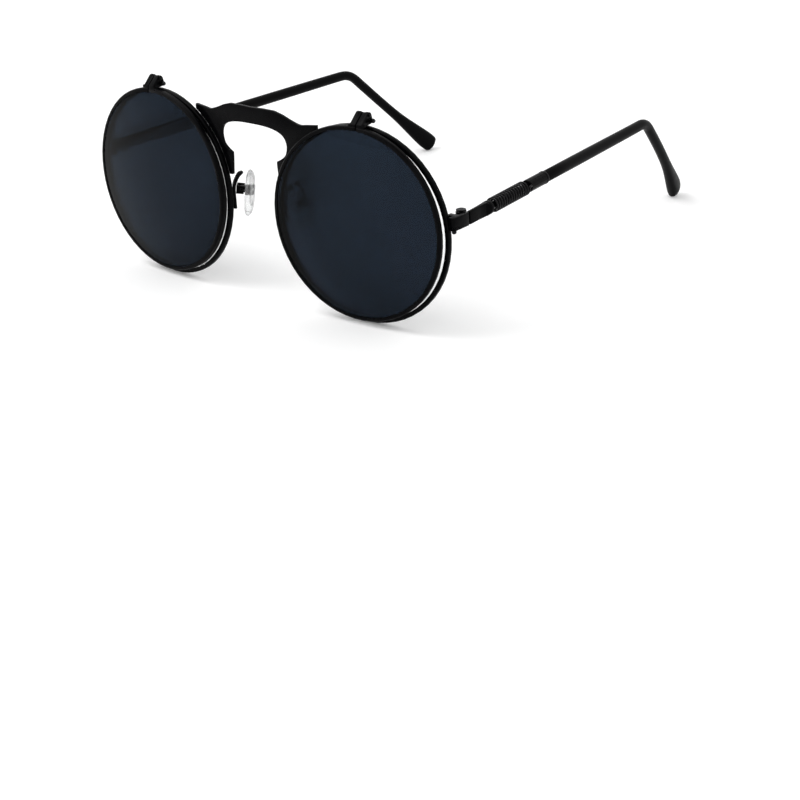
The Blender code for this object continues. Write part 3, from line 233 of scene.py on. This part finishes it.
def silicone():
    """Clear silicone, a little cloudy, with painted shade that darkens its colour towards its outline."""
    m = Nodes("pad_silicone")
    cloud = m.noise(700.0)
    # Painted shade: Layer Weight darkens the base colour where the surface turns away from view
    outline = m.add("ShaderNodeLayerWeight", Blend=0.4).outputs["Facing"]
    m.set(Base_Color=m.ramp(outline, (PAD_MIDDLE, PAD_PAINTED_EDGE_SHADE), start=0.35, end=0.90),
          Roughness=m.span(cloud, low=0.04, high=0.12),
          Normal=m.bump(cloud, strength=0.08, distance=0.00004),
          Alpha=0.8, Transmission_Weight=0.9, IOR=1.41)
    return m.material


looks = {
    "frame_enamel": lacquer(),
    "screws": steel("blackened_screws", dullest=0.36),
    "spring_steel": steel("blackened_spring", dullest=0.34),
    "temple_sleeve": sleeve_plastic(),
    "dark_lens": tinted_lens(),
    "clear_lens": clear_glass(),
    "nose_pad": silicone(),
}
SLOTS = {
    "clear_lens": ("clear_lens",),
    "dark_lens": ("flip_lens",),
    "spring_steel": ("coil_spring",),
    "temple_sleeve": ("temple_tip",),
    "nose_pad": ("nose_pad",),
    "screws": ("rim_screw", "temple_hinge_screw", "pad_screw", "pad_stem", "flip_hinge_pin",
               "flip_rim_screw", "temple_joint_ring"),
}


def slot_of(node):
    """The record's material slot of a node, by how its name starts."""
    for slot, starts in SLOTS.items():
        if node.startswith(starts):
            return slot
    return "frame_enamel"


for name, node in nodes.items():
    node.data.materials.clear()
    node.data.materials.append(looks[slot_of(name)])


# Places that the solids share

def lens_frame(side):
    """Place of a fixed lens: its centre, turned with the wrap of the front."""
    return (Matrix.Translation((side * LENS_X, LENS_PLANE_Y, LENS_Z))
            @ Matrix.Rotation(side * WRAP, 4, "Z"))


def temple_frame(side, word):
    """Place of a temple: its hinge axis, turned inward by the splay and tilted up to the ear."""
    hinge = next(j for j in frame["joints"] if j["name"] == f"{word}_temple_hinge")
    turn = Matrix.Rotation(side * SPLAY, 4, "Z") @ Matrix.Rotation(PITCH, 4, "X")
    return Matrix.Translation(hinge["pos_m"]) @ turn


# Pieces and meshes

def new_object(name, data):
    made = bpy.data.objects.new(name, data)
    bpy.context.collection.objects.link(made)
    return made


def smoothed(mesh, sharp_from):
    """Shade a mesh smooth, apart from its sharp edges."""
    mesh.shade_smooth()
    mesh.set_sharp_from_angle(angle=sharp_from)


def placed(piece, node, sharp_from):
    """Give a piece its node's look and body, and let it stand for the node."""
    piece.data.materials.clear()
    piece.data.materials.append(looks[slot_of(node)])
    smoothed(piece.data, sharp_from)
    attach(piece, bodies[node])
    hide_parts(node)


def shaped(piece):
    """The mesh that a curve or a piece's modifiers make."""
    graph = bpy.context.evaluated_depsgraph_get()
    return bpy.data.meshes.new_from_object(piece.evaluated_get(graph))


def baked(piece):
    """Keep what the modifiers make as the piece's own mesh."""
    mesh = shaped(piece)
    piece.modifiers.clear()
    piece.data = mesh
    return piece


def copied(node, whole_faces=True):
    """A piece with a node's shape, its doubled points joined, and its flat faces whole or its
    triangles paired."""
    work = bmesh.new()
    work.from_mesh(nodes[node].data)
    bmesh.ops.remove_doubles(work, verts=work.verts, dist=SAME_POINT)
    if whole_faces:
        bmesh.ops.dissolve_limit(work, angle_limit=FLAT_WITHIN, verts=work.verts,
                                 edges=work.edges)
    else:
        bmesh.ops.join_triangles(work, faces=work.faces, angle_face_threshold=JOINED_FACES,
                                 angle_shape_threshold=JOINED_SHAPES)
    mesh = bpy.data.meshes.new(f"{node}_fine")
    work.to_mesh(mesh)
    work.free()
    return new_object(f"{node}_fine", mesh)


# Metal pieces, pads and tips

def deepen(piece, side):
    """Move the back of a flip rim backwards, fading out from its middle up to its hinge."""
    place = lens_frame(side)
    back = place.to_3x3() @ Vector((0.0, RIM_DEEPER, 0.0))
    away = place.inverted()
    for v in piece.data.vertices:
        here = away @ v.co
        if here.y > FLIP_MIDDLE_BACK - FLIP_AHEAD and here.z < RIM_TOP_KEPT:
            v.co += back * min(1.0, (RIM_TOP_KEPT - here.z) / RIM_TOP_KEPT)


def bevelled(node, width):
    """The node with its edges broken, so that they catch the light."""
    piece = copied(node)
    if node == "flip_rim_right":
        deepen(piece, -1)
    change = piece.modifiers.new("edges", "BEVEL")
    change.width = width
    change.segments = BEVEL_STEPS
    change.limit_method = "ANGLE"
    change.angle_limit = BEVEL_FROM
    placed(baked(piece), node, BEVEL_SHARP)


def rounded(node, levels, crease_from):
    """The node subdivided, with its sharp edges kept."""
    piece = copied(node, whole_faces=False)
    work = bmesh.new()
    work.from_mesh(piece.data)
    crease = work.edges.layers.float.new("crease_edge")
    for edge in work.edges:
        if len(edge.link_faces) == 2 and edge.calc_face_angle(0.0) > crease_from:
            edge[crease] = CREASE
    work.to_mesh(piece.data)
    work.free()
    change = piece.modifiers.new("smooth", "SUBSURF")
    change.levels = change.render_levels = levels
    placed(baked(piece), node, ROUND_SHARP)


def box_mesh(name, centre, along, across, out, half):
    """A box with these half sizes along three directions."""
    corners = [centre + along * a * half[0] + across * b * half[1] + out * c * half[2]
               for c in (-1, 1) for b in (-1, 1) for a in (-1, 1)]
    mesh = bpy.data.meshes.new(name)
    mesh.from_pydata(corners, [], [(0, 2, 3, 1), (4, 5, 7, 6), (0, 1, 5, 4), (2, 6, 7, 3),
                                   (0, 4, 6, 2), (1, 3, 7, 5)])
    return mesh


def slotted(node, out, along):
    """A screw whose head faces out, with a driver slot cut along the head."""
    piece = copied(node)
    points = [v.co.copy() for v in piece.data.vertices]
    middle = sum(points, Vector()) / len(points)
    top = max(p.dot(out) for p in points)
    radius = max((p - middle - out * (p - middle).dot(out)).length for p in points)
    centre = middle + out * (top - middle.dot(out))
    across = out.cross(along).normalized()
    along = across.cross(out).normalized()
    half = (radius * SLOT_LENGTH, radius * SLOT_WIDTH, radius * SLOT_DEPTH)
    cutter = new_object("slot", box_mesh("slot", centre, along, across, out, half))
    change = piece.modifiers.new("slot", "BOOLEAN")
    change.operation = "DIFFERENCE"
    change.solver = "EXACT"
    change.object = cutter
    bpy.context.view_layer.update()
    baked(piece)
    bpy.data.objects.remove(cutter, do_unlink=True)
    placed(piece, node, CUT_SHARP)


# Lenses

def turned_mesh(name, profile, place):
    """Spin (radius, depth) pairs about the depth axis, then put each point in place."""
    points, rows, faces = [], [], []
    for radius, depth in profile:
        count = 1 if radius == 0 else LENS_SIDES
        rows.append(range(len(points), len(points) + count))
        for i in range(count):
            turn = 2 * math.pi * i / LENS_SIDES
            spot = Vector((radius * math.sin(turn), depth, radius * math.cos(turn)))
            points.append(place @ spot)
    for low, high in zip(rows, rows[1:]):
        for i in range(LENS_SIDES):
            k = (i + 1) % LENS_SIDES
            corners = [low[i % len(low)], low[k % len(low)],
                       high[k % len(high)], high[i % len(high)]]
            faces.append(tuple(dict.fromkeys(corners)))
    mesh = bpy.data.meshes.new(name)
    mesh.from_pydata(points, [], faces)
    work = bmesh.new()
    work.from_mesh(mesh)
    bmesh.ops.recalc_face_normals(work, faces=work.faces)
    work.to_mesh(mesh)
    work.free()
    return mesh


def fine_lens(node, side, inner, shift):
    """A lens with a smooth dome, bevelled at its edge to sit in the rim's groove."""
    edge, tip = inner - SEAT_GAP, inner + LENS_GROOVE - SEAT_GAP

    def sag(radius):
        return LENS_CURVE - math.sqrt(LENS_CURVE ** 2 - radius ** 2)

    def dome(share, face):
        return edge * share, face - (sag(edge) - sag(edge * share))

    half, lip = LENS_THICK / 2, LENS_LIP / 2
    profile = [dome(i / LENS_RINGS, -half) for i in range(LENS_RINGS + 1)]
    profile += [(edge, -lip), (tip, 0.0), (edge, lip)]
    profile += [dome(i / LENS_RINGS, half) for i in range(LENS_RINGS, -1, -1)]
    place = lens_frame(side) @ Matrix.Translation(shift)
    piece = new_object(f"{node}_fine", turned_mesh(f"{node}_fine", profile, place))
    placed(piece, node, LENS_SHARP)


# Springs

def spring_line(radius):
    """A spring's wire as pairs of distance along the rod and turn about it: a straight end, a
    quarter bend, the turns, and back again."""
    bend = COIL_WIRE
    swing = bend / radius
    first = COIL_START + SEAT_GAP
    start = first + 2 * bend
    end = start + COIL_TURNS * COIL_PITCH
    total = 2 * math.pi * COIL_TURNS
    quarter = [math.pi / 2 * i / BEND_STEPS for i in range(1, BEND_STEPS)]
    count = COIL_TURNS * COIL_STEPS
    line = [(first, -swing), (first + bend, -swing)]
    line += [(first + bend + bend * math.sin(t), -swing * math.cos(t)) for t in quarter]
    line += [(start + (end - start) * i / count, total * i / count) for i in range(count + 1)]
    line += [(end + bend - bend * math.cos(t), total + swing * math.sin(t)) for t in quarter]
    return line + [(end + bend, total + swing), (end + 2 * bend, total + swing)]


def fine_spring(side, word):
    """The wound spring as one unbroken round wire."""
    radius = COIL_OUTER - COIL_WIRE / 2
    line = spring_line(radius)
    place = temple_frame(side, word)
    curve = bpy.data.curves.new(f"spring_{word}", "CURVE")
    curve.dimensions = "3D"
    curve.bevel_depth = COIL_WIRE / 2
    curve.bevel_resolution = WIRE_ROUNDING
    curve.use_fill_caps = True
    wire = curve.splines.new("POLY")
    wire.points.add(len(line) - 1)
    for spot, (along, turn) in zip(wire.points, line):
        here = place @ Vector((side * (ROD_OUT + radius * math.cos(turn)), along,
                               radius * math.sin(turn)))
        spot.co = (*here, 1.0)
    guide = new_object(f"spring_{word}", curve)
    mesh = shaped(guide)
    bpy.data.objects.remove(guide, do_unlink=True)
    placed(new_object(f"spring_wire_{word}", mesh), f"coil_spring_{word}", ROUND_SHARP)


# Plates in the nose pads

def pad_insert(side, word):
    """Metal plate with a hole, moulded into the clear pad and seen through it."""
    lean = Matrix.Rotation(-side * PAD_SPLAY, 3, "Y")
    face = lean @ Vector((-side * math.cos(PAD_TURN), math.sin(PAD_TURN), 0.0))
    across = lean @ Vector((side * math.sin(PAD_TURN), math.cos(PAD_TURN), 0.0))
    up = lean @ UP
    seat = Vector((side * PAD_SEAT[0], PAD_SEAT[1] + LENS_PLANE_Y, PAD_SEAT[2]))
    outline = []
    for i in range(INSERT_SIDES):
        turn = 2 * math.pi * i / INSERT_SIDES
        a, b = math.cos(turn), math.sin(turn)
        outline.append((math.copysign(abs(a) ** INSERT_SQUARENESS, a) * INSERT_HALF[0],
                        math.copysign(abs(b) ** INSERT_SQUARENESS, b) * INSERT_HALF[1]))
    points, faces = [], []
    for depth in (-INSERT_HALF[2], INSERT_HALF[2]):
        for scale in (1.0, INSERT_HOLE):
            points += [seat + across * a * scale + up * b * scale + face * (depth + INSERT_BACK)
                       for a, b in outline]
    rings = [range(n * INSERT_SIDES, (n + 1) * INSERT_SIDES) for n in range(4)]
    for i in range(INSERT_SIDES):
        k = (i + 1) % INSERT_SIDES
        for low, high in ((0, 1), (3, 2), (2, 0), (1, 3)):
            faces.append((rings[low][i], rings[low][k], rings[high][k], rings[high][i]))
    mesh = bpy.data.meshes.new(f"pad_insert_{word}")
    mesh.from_pydata(points, [], faces)
    piece = new_object(f"pad_insert_{word}", mesh)
    mesh.materials.append(looks["screws"])
    smoothed(mesh, CUT_SHARP)
    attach(piece, bodies[f"nose_pad_{word}"])


for side, word in SIDES:
    left = lens_frame(side).to_3x3() @ Vector((1.0, 0.0, 0.0))
    back = temple_frame(side, word).to_3x3() @ Vector((0.0, 1.0, 0.0))
    ahead = FLIP_AHEAD + (LEFT_FLIP_PLAY if word == "left" else 0.0)
    fine_spring(side, word)
    fine_lens(f"clear_lens_{word}", side, CLEAR_INNER, (0.0, 0.0, 0.0))
    fine_lens(f"flip_lens_{word}", side, FLIP_INNER, (0.0, -ahead, FLIP_RAISE))
    slotted(f"temple_hinge_screw_{word}", UP, (left + back).normalized())
    slotted(f"rim_screw_{word}", -UP, left)
    slotted(f"flip_hinge_pin_{word}", left, (UP + back * HINGE_PIN_LEAN).normalized())
    slotted(f"flip_rim_screw_{word}", left, (UP - back * FLIP_SCREW_LEAN).normalized())
    pad_insert(side, word)
    rounded(f"nose_pad_{word}", PAD_LEVELS, PAD_CREASE_FROM)
    rounded(f"temple_tip_{word}", TIP_LEVELS, TIP_CREASE_FROM)
    for part, width in BEVELS:
        bevelled(f"{part}_{word}", width)
bevelled("bridge_plate", BRIDGE_BEVEL)


# Floor, light and camera

def pale_floor():
    """Pale floor that shows white to the camera away from the object's shadow."""
    m = Nodes("pale_floor")
    seen = m.add("ShaderNodeLightPath").outputs["Is Camera Ray"]
    m.set(Base_Color=m.ramp(m.noise(30.0), FLOOR), Roughness=0.7, Emission_Color=WHITE,
          Emission_Strength=m.span(seen, low=0.0, high=FLOOR_LIFT, start=0.0, end=1.0))
    return m.material


def lay_floor():
    """One flat sheet as floor and backdrop."""
    mesh = bpy.data.meshes.new("floor")
    corners = [(x * FLOOR_HALF, y * FLOOR_HALF, 0)
               for x, y in ((-1, -1), (1, -1), (1, 1), (-1, 1))]
    mesh.from_pydata(corners, [], [(0, 1, 2, 3)])
    floor = new_object("floor", mesh)
    mesh.materials.append(pale_floor())


def light_world():
    """Even light all round that shows pure white to the camera, metal and glass."""
    world = bpy.data.worlds.new("studio")
    bpy.context.scene.world = world
    world.use_nodes = True
    tree = world.node_tree
    sky = tree.nodes["Background"]
    sky.inputs["Color"].default_value = WHITE
    rays = tree.nodes.new("ShaderNodeLightPath")
    shown = rays.outputs["Is Camera Ray"]
    for kind in ("Is Glossy Ray", "Is Transmission Ray"):
        either = tree.nodes.new("ShaderNodeMath")
        either.operation = "MAXIMUM"
        tree.links.new(shown, either.inputs[0])
        tree.links.new(rays.outputs[kind], either.inputs[1])
        shown = either.outputs["Value"]
    strength = tree.nodes.new("ShaderNodeMapRange")
    strength.inputs["To Min"].default_value = WORLD_LIGHT
    tree.links.new(shown, strength.inputs["Value"])
    tree.links.new(strength.outputs["Result"], sky.inputs["Strength"])


def hang_key():
    """One square soft box, high up on the wearer's right."""
    lamp = bpy.data.lights.new("key", "AREA")
    lamp.shape = "RECTANGLE"
    lamp.size = lamp.size_y = KEY_SIZE
    lamp.energy = KEY_POWER
    made = new_object("key", lamp)
    made.location = KEY_PLACE
    made.rotation_euler = (KEY_AIM - KEY_PLACE).to_track_quat("-Z", "Y").to_euler()


def set_camera():
    """Camera at the photograph's angle, aimed at a point between the temples."""
    level = math.cos(CAMERA_RISE)
    back = Vector((math.sin(CAMERA_TURN) * level, -math.cos(CAMERA_TURN) * level,
                   math.sin(CAMERA_RISE)))
    right = Vector((math.cos(CAMERA_TURN), math.sin(CAMERA_TURN), 0.0))
    up = back.cross(right)
    across = right * math.cos(CAMERA_ROLL) + up * math.sin(CAMERA_ROLL)
    upward = up * math.cos(CAMERA_ROLL) - right * math.sin(CAMERA_ROLL)
    camera = bpy.data.cameras.new("camera")
    made = new_object("camera", camera)
    made.matrix_world = Matrix.Translation(CAMERA_AIM + back * CAMERA_AWAY) @ Matrix(
        (across, upward, back)).transposed().to_4x4()
    camera.sensor_width = SENSOR_MM
    camera.lens = FOCAL_PX * SENSOR_MM / IMAGE_PX
    camera.shift_x = (IMAGE_PX / 2 - CENTRE_PX[0]) / IMAGE_PX
    camera.shift_y = (CENTRE_PX[1] - IMAGE_PX / 2) / IMAGE_PX
    camera.clip_start = NEAREST_SEEN
    bpy.context.scene.camera = made


lay_floor()
light_world()
hang_key()
set_camera()
bpy.context.scene.view_settings.view_transform = "Standard"
